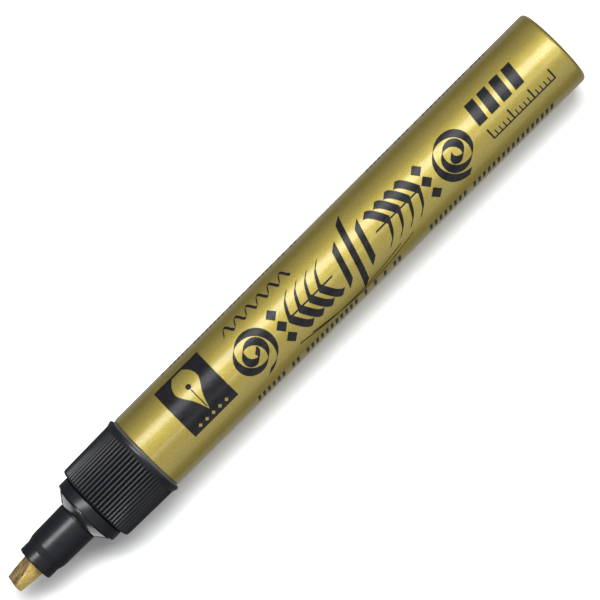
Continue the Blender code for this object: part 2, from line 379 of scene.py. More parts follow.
def inked_fibre(name, dark, light, skin=None):
    """Speckled fibre between two colours, with another pair for the skin of a cut rod."""
    material, tree, shader = start_finish(name, Metallic=0.55)
    fibres = grain(tree, 1500, (0.22, 1, 1), detail=4.0, roughness=0.7)
    flakes = grain(tree, 4200, detail=3.0, roughness=0.7)
    both = math_node(tree, "MULTIPLY", fibres, flakes)
    tone = two_tone(tree, both, dark, light, *SPECKLE)
    if skin:
        tone = add_node(
            tree,
            "ShaderNodeMix",
            {"Factor": cut_faces(tree), 6: two_tone(tree, both, *skin, *SPECKLE), 7: tone},
            data_type="RGBA",
        ).outputs[2]
    tone_and_gloss(tree, shader, tone, spread(tree, flakes, 0.40, 0.75))
    bump(tree, shader, both, 0.10 * MM, 0.8)
    return material


NIB = inked_fibre(
    "nib_fibre",
    (0.14, 0.08, 0.035),
    (0.80, 0.57, 0.235),
    ((0.355, 0.245, 0.067), (0.96, 0.71, 0.225)),
)
BUFFER = inked_fibre("buffer_fibre", (0.30, 0.23, 0.10), (0.66, 0.56, 0.33))


# %% [markdown]
# The rubbers and the steel are inside, where they only show when the marker is taken apart.

# %% Rubber and steel
DUST_CONTRAST = 1.6


def rubber(name, colour):
    """Dull rubber with a paler dust on it."""
    material, tree, shader = start_finish(name, IOR=1.45)
    dust = grain(tree, 1100, detail=4.0)
    paler = tuple(DUST_CONTRAST * c for c in colour)
    tint = two_tone(tree, dust, colour, paler)
    tone_and_gloss(tree, shader, tint, spread(tree, dust, 0.65, 0.85))
    bump(tree, shader, grain(tree, 3200), 0.006 * MM)
    return material


def bright_steel(name, low, high):
    """Steel with a fine clouding, whose roughness runs from low to high."""
    material, tree, shader = start_finish(name, Metallic=1.0)
    cloud = grain(tree, 1600, detail=3.0)
    tint = two_tone(tree, cloud, (0.52, 0.52, 0.54), (0.68, 0.68, 0.70))
    tone_and_gloss(tree, shader, tint, spread(tree, cloud, low, high))
    bump(tree, shader, cloud, 0.003 * MM)
    return material


SEAT_RUBBER = rubber("seat_rubber", (0.03, 0.03, 0.03))
WASHER_RUBBER = rubber("washer_rubber", (0.26, 0.06, 0.04))
WIRE = bright_steel("spring_wire", 0.2, 0.35)
POLISHED = bright_steel("ball_steel", 0.06, 0.14)
print("finishes", len(bpy.data.materials))

# %% [markdown]
# ## The table
#
# The floor is a plain pale sheet with a faint unevenness, as matt card has. It glows a
# little, as a light table does, so that it prints white while the shadow stays soft and
# grey. Reflections and bounced light don't see it, so the marker's sides stay as dark as
# over a dark table.

# %% Lay the floor
FLOOR_SIZE = 3.0
FLOOR_GLOW = 0.05


def object_from(bm, name):
    """A mesh object made from a bmesh, which is freed."""
    mesh = bpy.data.meshes.new(name)
    bm.to_mesh(mesh)
    bm.free()
    return bpy.data.objects.new(name, mesh)


floor_material, floor_tree, floor_shader = start_finish(
    "pale_card", Roughness=0.9, Emission_Color=(1.0, 1.0, 1.0), Emission_Strength=FLOOR_GLOW
)
floor_tone = two_tone(floor_tree, grain(floor_tree, 30), (0.88, 0.88, 0.88), (0.92, 0.92, 0.92))
floor_tree.links.new(floor_tone, floor_shader.inputs["Base Color"])
floor_bm = bmesh.new()
bmesh.ops.create_grid(floor_bm, x_segments=4, y_segments=4, size=FLOOR_SIZE / 2)
floor = object_from(floor_bm, "floor")
floor.data.materials.append(floor_material)
floor.location.z = cad_box[0][2]
floor.visible_glossy = False
floor.visible_diffuse = False
bpy.context.scene.collection.objects.link(floor)


def linked(name, objects, state="INCLUDE"):
    """A collection that tells a light which objects to reach, or which to leave out."""
    collection = bpy.data.collections.new(name)
    for obj in objects:
        collection.objects.link(obj)
    for entry in collection.collection_objects:
        entry.light_linking.link_state = state
    return collection


table_light.light_linking.receiver_collection = linked("table_light_reaches", [floor])

# %% [markdown]
# ## Turned pieces
#
# A turned piece is an outline spun round the axis. Real moulded and drawn pieces have no
# sharp corners, and it is the small rounds that catch the light, so each outline is given as
# corners with a rounding each, and a helper puts the arcs in.

# %% Helpers for turned pieces
ROUND_STEPS = 160
SHARP_ANGLE = math.radians(38)


def fillet(before, corner, after, size, steps=5):
    """Points of the arc that rounds a corner of an outline."""
    here = Vector(corner)
    back = (Vector(before) - here).normalized()
    onward = (Vector(after) - here).normalized()
    half = back.angle(onward) / 2
    centre = here + (back + onward).normalized() * (size / math.sin(half))
    first = here + back * (size / math.tan(half)) - centre
    last = here + onward * (size / math.tan(half)) - centre
    turn = first.angle_signed(last)
    rotated = [Matrix.Rotation(-turn * i / steps, 2) @ first for i in range(steps + 1)]
    return [tuple(centre + spoke) for spoke in rotated]


def rounded(corners, closed=True):
    """An outline of (distance from tip, radius, rounding) corners, with its arcs put in."""
    count = len(corners)
    outline = []
    for i, (along, out, size) in enumerate(corners):
        is_end = not closed and i in (0, count - 1)
        if is_end or not size:
            outline.append((along, out))
            continue
        before = corners[i - 1][:2]
        after = corners[(i + 1) % count][:2]
        outline += fillet(before, (along, out), after, size)
    return outline


def smooth(obj, angle=SHARP_ANGLE):
    """Shades an object smooth, but keeps each edge that turns by more than an angle crisp."""
    obj.data.shade_smooth()
    obj.data.set_sharp_from_angle(angle=angle)


def finish_piece(obj, material, body, nodes):
    """Gives a piece its material, hangs it on the empty of the body it rides on, and hides the
    imported nodes it replaces.
    """
    obj.data.materials.clear()
    obj.data.materials.append(material)
    if obj.name not in bpy.context.scene.collection.objects:
        bpy.context.scene.collection.objects.link(obj)
    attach(obj, body)
    if nodes:
        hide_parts(*nodes)
    return obj


def turn(name, corners, closed=True, steps=ROUND_STEPS):
    """Spins an outline round the marker's axis into a smooth closed mesh."""
    bm = bmesh.new()
    outline = rounded(corners, closed)
    verts = [bm.verts.new((TIP + along, 0, out)) for along, out in outline]
    edges = [bm.edges.new(pair) for pair in zip(verts, verts[1:])]
    if closed:
        edges.append(bm.edges.new((verts[-1], verts[0])))
    bmesh.ops.spin(
        bm, geom=verts + edges, cent=(0, 0, 0), axis=(1, 0, 0), angle=math.tau, steps=steps
    )
    bmesh.ops.remove_doubles(bm, verts=bm.verts, dist=0.0005 * MM)
    bmesh.ops.recalc_face_normals(bm, faces=bm.faces)
    bmesh.ops.translate(bm, verts=bm.verts, vec=(0, 0, AXIS_HEIGHT))
    made = object_from(bm, name)
    smooth(made)
    print(name, len(made.data.polygons), "faces")
    return made


# %% [markdown]
# The barrel is one drawn can. Its mouth is rolled to a soft edge, its butt has a rounded
# corner, and drawing leaves a very shallow dish in the closed end. The outline starts on the
# axis inside the closed end, comes forward along the bore and goes back along the outside.

# %% The barrel
CAN_BORE_R = BARREL_R - 0.5 * MM
CAN_FLOOR = CAN_REAR - 0.8 * MM
DISH_R = 5.6 * MM
DISH_DEPTH = 0.12 * MM

barrel = turn(
    "barrel_shell",
    [
        (CAN_FLOOR, 0, 0),
        (CAN_FLOOR, CAN_BORE_R, 0.4 * MM),
        (CAN_FRONT, CAN_BORE_R, 0.15 * MM),
        (CAN_FRONT, BARREL_R, 0.14 * MM),
        (CAN_REAR, BARREL_R, 0.85 * MM),
        (CAN_REAR, DISH_R, 0.3 * MM),
        (CAN_REAR - DISH_DEPTH, DISH_R - 0.5 * MM, 0.3 * MM),
        (CAN_REAR - DISH_DEPTH, 0, 0),
    ],
    closed=False,
)
finish_piece(barrel, GOLD, "barrel", ["barrel_can"])

# %% [markdown]
# The ring between collar and barrel is a plain washer that shows as a thin pale line. It is
# squeezed until it fills the joint, so it bulges a little and reaches the barrel's mouth. The
# seat ring in front of the collar is smooth, and the cap clicks over it.

# %% The gasket and the seat ring
GASKET_FRONT = span("barrel_gasket")[0]
GASKET_BORE = 6.5 * MM
RING_FRONT, RING_REAR = span("cap_seat_ring")
RING_R = 6.8 * MM
RING_BORE = 5.9 * MM


def plain_ring(name, front, rear, outer, bore, edge):
    """A ring with the same rounding on all four edges."""
    return turn(
        name,
        [(front, outer, edge), (rear, outer, edge), (rear, bore, edge), (front, bore, edge)],
    )


GASKET_R = radius("barrel_gasket") + 0.15 * MM
GASKET_SQUEEZED_REAR = CAN_FRONT - 0.02 * MM
gasket = plain_ring(
    "mouth_gasket", GASKET_FRONT, GASKET_SQUEEZED_REAR, GASKET_R, GASKET_BORE, 0.15 * MM
)
finish_piece(gasket, GASKET, "barrel", ["barrel_gasket"])
seat_ring = plain_ring("seat_ring", RING_FRONT, RING_REAR, RING_R, RING_BORE, 0.2 * MM)
finish_piece(seat_ring, BLACK, "barrel", ["cap_seat_ring"])

# %% [markdown]
# The nib holder steps down twice towards the nib. Its spigot goes on back inside the plug,
# and its bore is wider behind the front land, where the fibre sleeve sits.

# %% The nib holder
HOLDER_FRONT, HOLDER_REAR = span("nib_holder")
HOLDER_SHOULDER = 15.9 * MM
HOLDER_TIP_R = 3.6 * MM
SPIGOT_R = 3.9 * MM
NIB_FACETS = 32
NIB_R = radius("nib", NIB_FACETS)
HOLDER_BORE = NIB_R + 0.25 * MM
HOLDER_COUNTERBORE = 3.4 * MM
LAND_REAR = HOLDER_FRONT + 4.4 * MM

holder = turn(
    "nib_sleeve",
    [
        (HOLDER_FRONT, HOLDER_TIP_R, 0.28 * MM),
        (HOLDER_FRONT + 2.1 * MM, HOLDER_TIP_R, 0.5 * MM),
        (HOLDER_FRONT + 3.55 * MM, 3.95 * MM, 0.6 * MM),
        (HOLDER_SHOULDER, 4.07 * MM, 0.12 * MM),
        (HOLDER_SHOULDER + 0.1 * MM, SPIGOT_R, 0.03 * MM),
        (HOLDER_REAR, SPIGOT_R, 0.15 * MM),
        (HOLDER_REAR, HOLDER_COUNTERBORE, 0.1 * MM),
        (LAND_REAR, HOLDER_COUNTERBORE, 0.1 * MM),
        (LAND_REAR, HOLDER_BORE, 0.1 * MM),
        (HOLDER_FRONT, HOLDER_BORE, 0.12 * MM),
    ],
)
finish_piece(holder, BLACK, "barrel", ["nib_holder"])

# %% [markdown]
# The plug is one moulding. Its nose is the pale cone that shows, its middle carries the ring
# and the collar, and its rear is pressed into the barrel and houses the valve.

# %% The neck plug
PLUG_FRONT, PLUG_REAR = span("neck_plug")
PLUG_R = CAN_BORE_R - 0.3 * MM
SEAT_FRONT = span("valve_seat")[0]
WEB_REAR = SEAT_FRONT - 0.3 * MM
WEB_FRONT = WEB_REAR - 1.0 * MM
WEB_HOLE_R = 2.0 * MM
NOSE_BORE = 4.2 * MM
VALVE_BORE = 5.0 * MM
PLUG_LIP = 4.3 * MM
LIP_FRONT = PLUG_REAR - 1.7 * MM
GROOVE_FRONT = RING_FRONT - 0.2 * MM
GROOVE_R = 5.6 * MM
WAIST_R = 6.2 * MM

plug = turn(
    "neck_cone",
    [
        (PLUG_FRONT, 4.35 * MM, 0.05 * MM),
        (GROOVE_FRONT, 6.25 * MM, 0.08 * MM),
        (GROOVE_FRONT, GROOVE_R, 0.05 * MM),
        (RING_REAR + 0.1 * MM, GROOVE_R, 0.05 * MM),
        (RING_REAR + 0.25 * MM, WAIST_R, 0.05 * MM),
        (CAN_FRONT, WAIST_R, 0.1 * MM),
        (CAN_FRONT, PLUG_R, 0.1 * MM),
        (PLUG_REAR - 0.8 * MM, PLUG_R, 0.3 * MM),
        (PLUG_REAR, 6.6 * MM, 0.15 * MM),
        (PLUG_REAR, PLUG_LIP, 0.15 * MM),
        (LIP_FRONT, PLUG_LIP, 0.1 * MM),
        (LIP_FRONT, VALVE_BORE, 0.1 * MM),
        (WEB_REAR, VALVE_BORE, 0.1 * MM),
        (WEB_REAR, WEB_HOLE_R, 0.1 * MM),
        (WEB_FRONT, WEB_HOLE_R, 0.1 * MM),
        (WEB_FRONT, NOSE_BORE, 0.1 * MM),
        (PLUG_FRONT, NOSE_BORE, 0.05 * MM),
    ],
)
finish_piece(plug, NECK, "barrel", ["neck_plug"])

# %% [markdown]
# The cone faces forwards, so most of it mirrors the pale table in front of the marker. The
# floor here is hidden from reflections, to keep the black pieces black, so the cone gets the
# table's light from a box under the floor that reaches this one piece and nothing else.

# %% Light the cone from the table
CONE_BRIGHTNESS = 1.25
FLOOR_LETS_BY = linked("floor_lets_light_by", [floor], "EXCLUDE")
cone_light = softbox("cone_light", math.pi, 127.0, 0.5, (0.95, 0.36), CONE_BRIGHTNESS)
cone_light.light_linking.receiver_collection = linked("cone_light_reaches", [plug])
cone_light.light_linking.blocker_collection = FLOOR_LETS_BY

# %% [markdown]
# ## The ribbed collar
#
# Sixty-four fine ribs run along the collar. Modelling one and repeating it is how its mould
# was cut too. So the script makes a wedge of the collar that is one rib wide, with a crowned
# rib and half a groove on each side, and a Geometry Nodes tree sets copies of it round the
# axis and merges their edges into one closed body.

# %% One rib's wedge of the collar
COLLAR_FRONT, COLLAR_REAR = span("grip_collar")
RIM_R = radius("grip_collar")
RIB_COUNT = 64
RIB_HEIGHT = 0.42 * MM
RIB_REAR = COLLAR_REAR - 1.15 * MM
RIB_ACROSS = [-1, -0.9, -0.72, -0.5, -0.28, -0.1, 0, 0.1, 0.28, 0.5, 0.72, 0.9, 1]
GROOVE_START_R = 7.45 * MM
GROOVE_RUN_OUT = 0.4 * MM
COLLAR_R = 8.0 * MM
COLLAR_BORE = 6.5 * MM
FRONT_RECESS_R = 7.0 * MM
FRONT_RECESS_END = COLLAR_FRONT + 1.0 * MM
REAR_RECESS_R = 8.0 * MM
REAR_RECESS_END = COLLAR_REAR - 0.6 * MM

collar_outline = rounded(
    [
        (COLLAR_FRONT, COLLAR_R, 0.5 * MM),
        (RIB_REAR - 0.25 * MM, 8.18 * MM, 0),
        (RIB_REAR, 8.19 * MM, 0),
        (COLLAR_REAR - 0.4 * MM, RIM_R, 0.2 * MM),
        (COLLAR_REAR, RIM_R, 0.12 * MM),
        (COLLAR_REAR, REAR_RECESS_R, 0.1 * MM),
        (REAR_RECESS_END, REAR_RECESS_R, 0.1 * MM),
        (REAR_RECESS_END, COLLAR_BORE, 0.1 * MM),
        (FRONT_RECESS_END, COLLAR_BORE, 0.1 * MM),
        (FRONT_RECESS_END, FRONT_RECESS_R, 0.1 * MM),
        (COLLAR_FRONT, FRONT_RECESS_R, 0.15 * MM),
    ]
)


def rib_depth(along, out):
    """How deep the groove is at a place on the outline: none on the face, rim or bore."""
    if out < GROOVE_START_R or along > RIB_REAR - 0.01 * MM:
        return 0.0
    near_face = min(1.0, (out - GROOVE_START_R) / GROOVE_RUN_OUT)
    return RIB_HEIGHT * near_face


def ridge(across):
    """How far down a crowned rib is at a share of half its width: 0 on the crest, 1 in the groove."""
    return across**2


def rib_wedge():
    """The outline at each place across one rib, with faces between neighbours."""
    bm = bmesh.new()
    pitch = math.tau / RIB_COUNT
    rows = []
    for across in RIB_ACROSS:
        angle = across * pitch / 2
        row = []
        for along, out in collar_outline:
            r = out - rib_depth(along, out) * ridge(across)
            row.append(bm.verts.new((TIP + along, r * math.sin(angle), r * math.cos(angle))))
        rows.append(row)
    for left, right in zip(rows, rows[1:]):
        for i in range(len(collar_outline)):
            j = (i + 1) % len(collar_outline)
            bm.faces.new((left[i], left[j], right[j], right[i]))
    wedge = object_from(bm, "ribbed_collar")
    print("one rib has", len(wedge.data.polygons), "faces")
    return wedge


# %% [markdown]
# The tree's inputs are the number of ribs, the height of the axis and the distance within
# which edges merge. It turns copy number i by i whole ribs.

# %% Repeat the wedge round the axis
def start_tree(name, inputs):
    """A Geometry Nodes tree that takes and gives a geometry, with named inputs besides."""
    tree = bpy.data.node_groups.new(name, "GeometryNodeTree")
    tree.interface.new_socket("Geometry", in_out="INPUT", socket_type="NodeSocketGeometry")
    for label, kind in inputs.items():
        tree.interface.new_socket(label, in_out="INPUT", socket_type="NodeSocket" + kind)
    tree.interface.new_socket("Geometry", in_out="OUTPUT", socket_type="NodeSocketGeometry")
    return tree, add_node(tree, "NodeGroupInput").outputs


def end_tree(tree, geometry, material):
    """Ends a tree in real geometry with its material set."""
    real = add_node(tree, "GeometryNodeRealizeInstances", {"Geometry": geometry})
    painted = add_node(
        tree,
        "GeometryNodeSetMaterial",
        {"Geometry": real.outputs[0], "Material": material},
    )
    add_node(tree, "NodeGroupOutput", {"Geometry": painted.outputs[0]})
    return tree


def run_tree(obj, tree, values, solid=0.0):
    """Puts a tree on an object, sets its inputs, and returns the result as a plain mesh."""
    scene = bpy.context.scene
    scene.collection.objects.link(obj)
    modifier = obj.modifiers.new(tree.name, "NODES")
    modifier.node_group = tree
    for item in tree.interface.items_tree:
        if item.in_out == "INPUT" and item.name in values:
            modifier[item.identifier] = values[item.name]
    if solid:
        thicken = obj.modifiers.new("thickness", "SOLIDIFY")
        thicken.thickness = solid
        thicken.offset = 1.0
    depsgraph = bpy.context.evaluated_depsgraph_get()
    mesh = bpy.data.meshes.new_from_object(obj.evaluated_get(depsgraph), depsgraph=depsgraph)
    name = obj.name
    bpy.data.objects.remove(obj)
    made = bpy.data.objects.new(name, mesh)
    mesh.name = name
    print(name, len(mesh.polygons), "faces from", tree.name)
    return made


def copies_round_axis(tree, shape, count):
    """Adds the nodes that set copies of a shape at even turns about the X axis."""
    points = add_node(tree, "GeometryNodePoints", {"Count": count}).outputs[0]
    index = add_node(tree, "GeometryNodeInputIndex").outputs[0]
    share = math_node(tree, "DIVIDE", index, count)
    turned = math_node(tree, "MULTIPLY", share, math.tau)
    about_x = add_node(tree, "ShaderNodeCombineXYZ", {"X": turned}).outputs[0]
    copies = add_node(
        tree,
        "GeometryNodeInstanceOnPoints",
        {"Points": points, "Instance": shape, "Rotation": about_x},
    ).outputs[0]
    return add_node(tree, "GeometryNodeRealizeInstances", {"Geometry": copies}).outputs[0]


def raise_to_axis(tree, geometry, axis_height):
    """Adds the nodes that lift a geometry from the X axis to the marker's axis."""
    lift = add_node(tree, "ShaderNodeCombineXYZ", {"Z": axis_height}).outputs[0]
    return add_node(
        tree, "GeometryNodeTransform", {"Geometry": geometry, "Translation": lift}
    ).outputs[0]


def merge_points(tree, geometry, distance):
    """Adds the node that joins points which lie within a distance of each other."""
    return add_node(
        tree, "GeometryNodeMergeByDistance", {"Geometry": geometry, "Distance": distance}
    ).outputs[0]


def repeat_round_axis(material):
    """The tree that makes a whole collar from the wedge of one rib."""
    tree, given = start_tree(
        "repeat_round_axis", {"Ribs": "Int", "Axis Height": "Float", "Merge": "Float"}
    )
    ribs = copies_round_axis(tree, given["Geometry"], given["Ribs"])
    merged = merge_points(tree, ribs, given["Merge"])
    return end_tree(tree, raise_to_axis(tree, merged, given["Axis Height"]), material)


collar = run_tree(
    rib_wedge(),
    repeat_round_axis(COLLAR_BLACK),
    {"Ribs": RIB_COUNT, "Axis Height": AXIS_HEIGHT, "Merge": 0.001 * MM},
)
smooth(collar, math.radians(50))
finish_piece(collar, COLLAR_BLACK, "barrel", ["grip_collar"])

# %% [markdown]
# ## The nib
#
# The nib is a round fibre rod with two bevels that leave a flat writing edge, turned about
# the axis as it sits in the holder. Its section at any distance from the tip is a circle with
# two sides cut off. A loft of such sections gives both bevels in one skin, and blending the
# circle into the flats a little keeps the edges as soft as felt is.

# %% Loft the nib
NIB_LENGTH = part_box("nib")[1][0] - TIP
NIB_TIP_HALF = 0.755 * MM
NIB_SLOPE = 0.24
NIB_SPOKES = 144
EDGE_SOFTNESS = 14
TIP_RINGS = [(0, 0.0), (0, 0.25), (0, 0.5), (0, 0.75), (0, 0.93), (0.02, 0.965), (0.07, 0.99)]
FIRST_FULL_RING = 0.14 * MM
FINE_STEP = 0.1 * MM
COARSE_STEP = 0.7 * MM
FINE_LENGTH = 8 * MM


def nib_section(along, spoke):
    """The nib's radius along one spoke: a circle with two sides cut off by the bevels."""
    angle = math.tau * spoke / NIB_SPOKES
    flat = (NIB_TIP_HALF + NIB_SLOPE * along) / max(abs(math.cos(angle)), 1e-6)
    return (NIB_R**-EDGE_SOFTNESS + flat**-EDGE_SOFTNESS) ** (-1 / EDGE_SOFTNESS)


def nib_rings():
    """Pairs of distance from the tip and share of the full section, fine where it shows."""
    rings = [(x * MM, share) for x, share in TIP_RINGS]
    along = FIRST_FULL_RING
    while along < NIB_LENGTH - 0.2 * MM:
        rings.append((along, 1.0))
        along += FINE_STEP if along < FINE_LENGTH else COARSE_STEP
    return rings + [(NIB_LENGTH - 0.12 * MM, 1), (NIB_LENGTH, 0.95), (NIB_LENGTH, 0)]


def loft_nib():
    """Rings of points along the rod, with faces between neighbours."""
    bm = bmesh.new()
    rows = []
    for along, share in nib_rings():
        row = []
        for spoke in range(NIB_SPOKES):
            angle = math.tau * spoke / NIB_SPOKES + NIB_ROLL
            r = share * nib_section(along, spoke)
            place = (TIP + along, r * math.cos(angle), AXIS_HEIGHT + r * math.sin(angle))
            row.append(bm.verts.new(place))
        rows.append(row)
    for front, rear in zip(rows, rows[1:]):
        for i in range(NIB_SPOKES):
            j = (i + 1) % NIB_SPOKES
            bm.faces.new((front[i], rear[i], rear[j], front[j]))
    bmesh.ops.remove_doubles(bm, verts=bm.verts, dist=0.0005 * MM)
    bmesh.ops.recalc_face_normals(bm, faces=bm.faces)
    rod = object_from(bm, "chisel_nib")
    rod.data.shade_smooth()
    return rod


# %% [markdown]
# Cut felt is never smooth: fibre ends stand up and pigment clots between them. The tree
# pushes each point along its normal by noise that is stretched along the rod. Its inputs are
# the height of the fibres, how fine they are and how many times longer than wide.

# %% Roughen the fibres
def raise_fibres(material):
    """The tree that pushes a surface in and out by stretched noise."""
    tree, given = start_tree(
        "raise_fibres", {"Fibre Height": "Float", "Fineness": "Float", "Stretch": "Float"}
    )
    where = add_node(tree, "GeometryNodeInputPosition")
    longer = math_node(tree, "DIVIDE", 1.0, given["Stretch"])
    scale = add_node(tree, "ShaderNodeCombineXYZ", {"X": longer, "Y": 1, "Z": 1})
    squeezed = add_node(
        tree,
        "ShaderNodeVectorMath",
        {0: where.outputs[0], 1: scale.outputs[0]},
        operation="MULTIPLY",
    )
    noise = add_node(
        tree,
        "ShaderNodeTexNoise",
        {
            "Vector": squeezed.outputs[0],
            "Scale": given["Fineness"],
            "Detail": 4.0,
            "Roughness": 0.65,
        },
    )
    about_zero = math_node(tree, "SUBTRACT", noise.outputs["Fac"], 0.5)
    height = math_node(tree, "MULTIPLY", about_zero, given["Fibre Height"])
    normal = add_node(tree, "GeometryNodeInputNormal")
    push = add_node(
        tree,
        "ShaderNodeVectorMath",
        {0: normal.outputs[0], "Scale": height},
        operation="SCALE",
    )
    moved = add_node(
        tree,
        "GeometryNodeSetPosition",
        {"Geometry": given["Geometry"], "Offset": push.outputs[0]},
    )
    return end_tree(tree, moved.outputs[0], material)


fibre_tree = raise_fibres(NIB)
nib = run_tree(
    loft_nib(), fibre_tree, {"Fibre Height": 0.16 * MM, "Fineness": 1400.0, "Stretch": 2.5}
)
nib.data.shade_smooth()
finish_piece(nib, NIB, "nib", ["nib"])

# %% [markdown]
# ## The print
#
# The barrel is printed in black: a square panel at the front, large pen-drawn marks along the
# middle, and rows of small marks. Real ones carry words there. This one carries ornament only:
# the kind of strokes a broad nib makes in practice.
#
# Print follows the barrel, so everything is laid out flat first, with X along the barrel from
# the nib's tip, Y as the distance round it from the top line, and Z as height over the
# lacquer. One node group then bends the flat sheet round the barrel.

# %% A node group that bends flat print round the barrel
PRINT_LIFT = 0.004 * MM
PRINT_THICKNESS = 0.016 * MM


def bend_round_barrel(tree, geometry):
    """Adds the nodes that turn (along, round, height) into a place on the barrel."""
    where = add_node(tree, "GeometryNodeInputPosition")
    flat = add_node(tree, "ShaderNodeSeparateXYZ", {0: where.outputs[0]}).outputs
    angle = math_node(tree, "DIVIDE", flat["Y"], BARREL_R)
    out = math_node(tree, "ADD", flat["Z"], BARREL_R + PRINT_LIFT)
    across = math_node(tree, "MULTIPLY", out, math_node(tree, "SINE", angle))
    up = math_node(tree, "MULTIPLY", out, math_node(tree, "COSINE", angle))
    bent = add_node(
        tree,
        "ShaderNodeCombineXYZ",
        {
            "X": math_node(tree, "ADD", flat["X"], TIP),
            "Y": across,
            "Z": math_node(tree, "ADD", up, AXIS_HEIGHT),
        },
    )
    return add_node(
        tree, "GeometryNodeSetPosition", {"Geometry": geometry, "Position": bent.outputs[0]}
    ).outputs[0]


# %% [markdown]
# A broad nib is a short straight edge held at a steady slant. Whatever path the hand draws,
# the mark is that edge swept along it, and this is what makes strokes swell and thin. The
# tree does just that: it samples a path, shifts it half an edge to one side and extrudes it
# by the whole edge. The strip is subdivided so that it can bend, parted where the stroke
# turns over, and the faces that come out upside down are flipped.

# %% The tree that sweeps a broad nib
def broad_nib_tree(material):
    """The tree that draws a path with a broad edge, round the barrel."""
    tree, given = start_tree(
        "broad_nib", {"Edge Width": "Float", "Edge Angle": "Float", "Step": "Float"}
    )
    cosine = math_node(tree, "COSINE", given["Edge Angle"])
    sine = math_node(tree, "SINE", given["Edge Angle"])
    direction = add_node(tree, "ShaderNodeCombineXYZ", {"X": cosine, "Y": sine}).outputs[0]
    half = math_node(tree, "MULTIPLY", given["Edge Width"], -0.5)
    shift = add_node(
        tree, "ShaderNodeVectorMath", {0: direction, "Scale": half}, operation="SCALE"
    ).outputs[0]
    sampled = add_node(
        tree,
        "GeometryNodeResampleCurve",
        {"Curve": given["Geometry"], "Length": given["Step"]},
        mode="LENGTH",
    )
    line = add_node(tree, "GeometryNodeCurveToMesh", {"Curve": sampled.outputs[0]})
    shifted = add_node(
        tree, "GeometryNodeSetPosition", {"Geometry": line.outputs[0], "Offset": shift}
    )
    swept = add_node(
        tree,
        "GeometryNodeExtrudeMesh",
        {
            "Mesh": shifted.outputs[0],
            "Offset": direction,
            "Offset Scale": given["Edge Width"],
        },
        mode="EDGES",
    )
    fine = add_node(
        tree, "GeometryNodeSubdivideMesh", {"Mesh": swept.outputs["Mesh"], "Level": 2}
    )
    turned_over = add_node(
        tree,
        "FunctionNodeCompare",
        {0: add_node(tree, "GeometryNodeInputMeshEdgeAngle").outputs[0], 1: math.pi / 2},
        operation="GREATER_THAN",
    ).outputs[0]
    parted = add_node(
        tree, "GeometryNodeSplitEdges", {"Mesh": fine.outputs[0], "Selection": turned_over}
    )
    normal = add_node(tree, "GeometryNodeInputNormal")
    facing = add_node(tree, "ShaderNodeSeparateXYZ", {0: normal.outputs[0]}).outputs["Z"]
    upside_down = add_node(
        tree, "FunctionNodeCompare", {0: facing, 1: 0.0}, operation="LESS_THAN"
    ).outputs[0]
    upright = add_node(
        tree, "GeometryNodeFlipFaces", {"Mesh": parted.outputs[0], "Selection": upside_down}
    )
    return end_tree(tree, bend_round_barrel(tree, upright.outputs[0]), material)


BROAD_NIB = broad_nib_tree(INK)


# %% [markdown]
# The marks are a border pattern of the kind that a learner fills a page with: scrolls, columns
# of dots and sprays of leaves, mirrored about the middle, with slanted strokes between them.
# Every path is a formula in millimetres from the left end of the baseline. A stroke's height
# over the lacquer grows by a hair from start to end, so that where it crosses itself the two
# layers never lie in the same plane.

# %% Paths for the marks
MARKS_START = 54.0 * MM
MARKS_LENGTH = 59.6
BASELINE = -4.7 * MM
LAYER_RISE = 0.004 * MM
EDGE_ANGLE = math.radians(38)
MIDDLE = 3.6
DOT_LEVELS = (0.9, MIDDLE, 6.3)
WOUND_IN = 0.82
LEAF_LENGTH = 2.7
LEAF_RISE = 3.6
LEAF_SPACING = 2.5
LEAF_WIDTH = 1.5
STEM_WIDTH = 0.5


def arches(start, length, low, high, count):
    """A run of rounded arches, from one foot to the last."""
    steps = 24 * count
    half = (high - low) / 2
    turns = [math.tau * count * i / steps for i in range(steps + 1)]
    return [(start + length * a / turns[-1], low + half - half * math.cos(a)) for a in turns]


def scroll(x, y, size, turns, way):
    """A spiral that winds inwards, to the right or, with way -1, to the left."""
    steps = int(28 * turns)
    points = []
    for i in range(steps + 1):
        angle = math.tau * turns * i / steps - math.pi / 2
        r = size * (1 - WOUND_IN * i / steps)
        points.append((x + way * r * math.cos(angle), y + r * math.sin(angle)))
    return points


def slanted(x, low, high, lean=0.3):
    """A straight stroke that leans to the right as it rises."""
    steps = 12
    rises = [(high - low) * i / steps for i in range(steps + 1)]
    return [(x + lean * rise, low + rise) for rise in rises]


def dot(x, y, size):
    """A short path square to the nib's edge, which leaves a diamond."""
    away = (size / 2 * math.sin(EDGE_ANGLE), -size / 2 * math.cos(EDGE_ANGLE))
    return [(x - away[0], y - away[1]), (x, y), (x + away[0], y + away[1])]


def dots(x, size=1.7):
    """A column of dots."""
    return [(size, dot(x, y, size)) for y in DOT_LEVELS]


def leaf(x, way, side):
    """One leaf of a spray: it leaves the stem steeply and bends over, up or down."""
    steps = 10
    bends = [math.pi / 2 * i / steps for i in range(steps + 1)]
    return [
        (x + way * LEAF_LENGTH * b / bends[-1], MIDDLE + side * LEAF_RISE * math.sin(b))
        for b in bends
    ]


def spray(x, way, pairs=4):
    """A stem with pairs of leaves, growing to the right or, with way -1, to the left."""
    tip = x + way * (LEAF_SPACING * pairs + 0.6)
    stalk = [(STEM_WIDTH, [(x, MIDDLE), ((x + tip) / 2, MIDDLE), (tip, MIDDLE)])]
    roots = [x + way * LEAF_SPACING * i for i in range(pairs)]
    return stalk + [(LEAF_WIDTH, leaf(root, way, side)) for root in roots for side in (-1, 1)]


def hairline(start, length, low, dip):
    """A long thin stroke that sags in its middle."""
    steps = 40
    return [
        (start + length * i / steps, low - dip * math.sin(math.pi * i / steps))
        for i in range(steps + 1)
    ]


